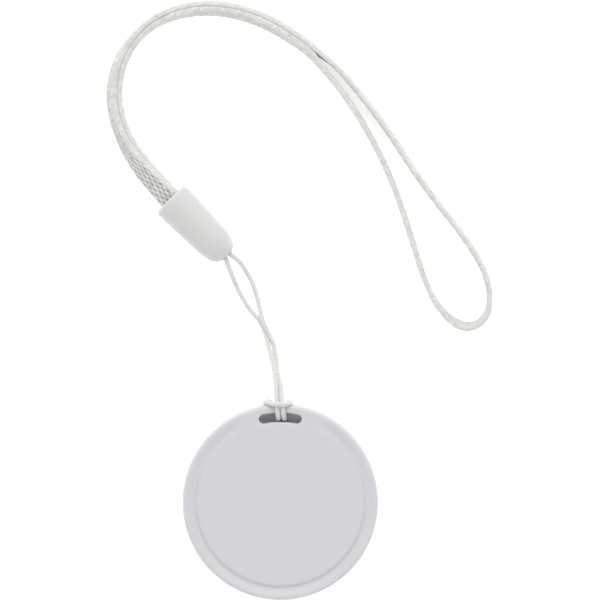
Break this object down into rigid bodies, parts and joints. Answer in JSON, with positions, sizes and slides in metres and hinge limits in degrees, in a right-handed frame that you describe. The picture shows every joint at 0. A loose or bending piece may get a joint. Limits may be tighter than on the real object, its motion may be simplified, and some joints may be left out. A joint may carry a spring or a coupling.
{
  "type": "bluetooth tracker tag",
  "caption": "Round white tracker tag with a grooved pressing face, an arched lanyard slot and a braided wrist strap looped through it by a thin cord.",
  "frame": {"origin": "centre of the tag's back, on the plane it rests on", "axes": "+Z out of the pressing face, +Y from the tag's centre to the middle of the lanyard slot"},
  "size_m": [0.0778, 0.1198, 0.0103],
  "materials": {
    "white_shell": "fine satin",
    "milky_plastic": "translucent satin",
    "strap_fabric": "braided polyester",
    "cord_fabric": "braided nylon",
    "black_plastic": "satin",
    "grey_rubber": "matte",
    "board_green": "solder mask",
    "chip_black": "moulded epoxy",
    "bright_steel": "bright nickel plated",
    "brass_sheet": "rolled sheet",
    "white_ceramic": "fired",
    "capacitor_tan": "fired",
    "cell_core": "pressed powder"
  },
  "bodies": {
    "tag": {"front_shell": "white_shell", "rear_shell": "white_shell", "case_screw_1": "bright_steel", "case_screw_2": "bright_steel", "case_screw_3": "bright_steel", "cell_can": "bright_steel", "cell_cap": "bright_steel", "cell_gasket": "black_plastic", "cell_core": "cell_core", "battery_cradle": "black_plastic", "positive_contact": "bright_steel", "negative_contact": "bright_steel", "sounder_contact_1": "brass_sheet", "sounder_contact_2": "brass_sheet", "main_board": "board_green", "radio_chip": "chip_black", "memory_chip": "chip_black", "main_crystal": "bright_steel", "clock_crystal": "bright_steel", "chip_antenna": "white_ceramic", "power_inductor": "chip_black", "capacitor_1": "capacitor_tan", "capacitor_2": "capacitor_tan", "capacitor_3": "capacitor_tan", "capacitor_4": "capacitor_tan", "switch_body": "black_plastic", "lanyard_cord": "cord_fabric", "cord_ferrule": "milky_plastic", "wrist_strap": "strap_fabric"},
    "face": {"face_panel": "white_shell", "sounder_plate": "brass_sheet", "sounder_ceramic": "white_ceramic"},
    "plunger": {"switch_plunger": "bright_steel"},
    "door": {"battery_door": "white_shell", "door_seal": "grey_rubber"}
  },
  "joints": [
    {"name": "face_press", "type": "hinge", "parent": "tag", "child": "face", "pos_m": [0, 0.0136, 0.0079], "axis": [1, 0, 0], "range_deg": [0, 0.72], "stiffness_Nm_per_rad": 2},
    {"name": "switch_press", "type": "slide", "parent": "tag", "child": "plunger", "axis": [0, 0, -1], "range_m": [0, 0.00025]},
    {"name": "door_twist", "type": "hinge", "parent": "tag", "child": "door", "pos_m": [0, 0, 0.0006], "axis": [0, 0, 1], "range_deg": [0, 35]}
  ],
  "couplings": [
    {"joint": "switch_press", "follows": "face_press", "m_per_rad": 0.0196}
  ]
}
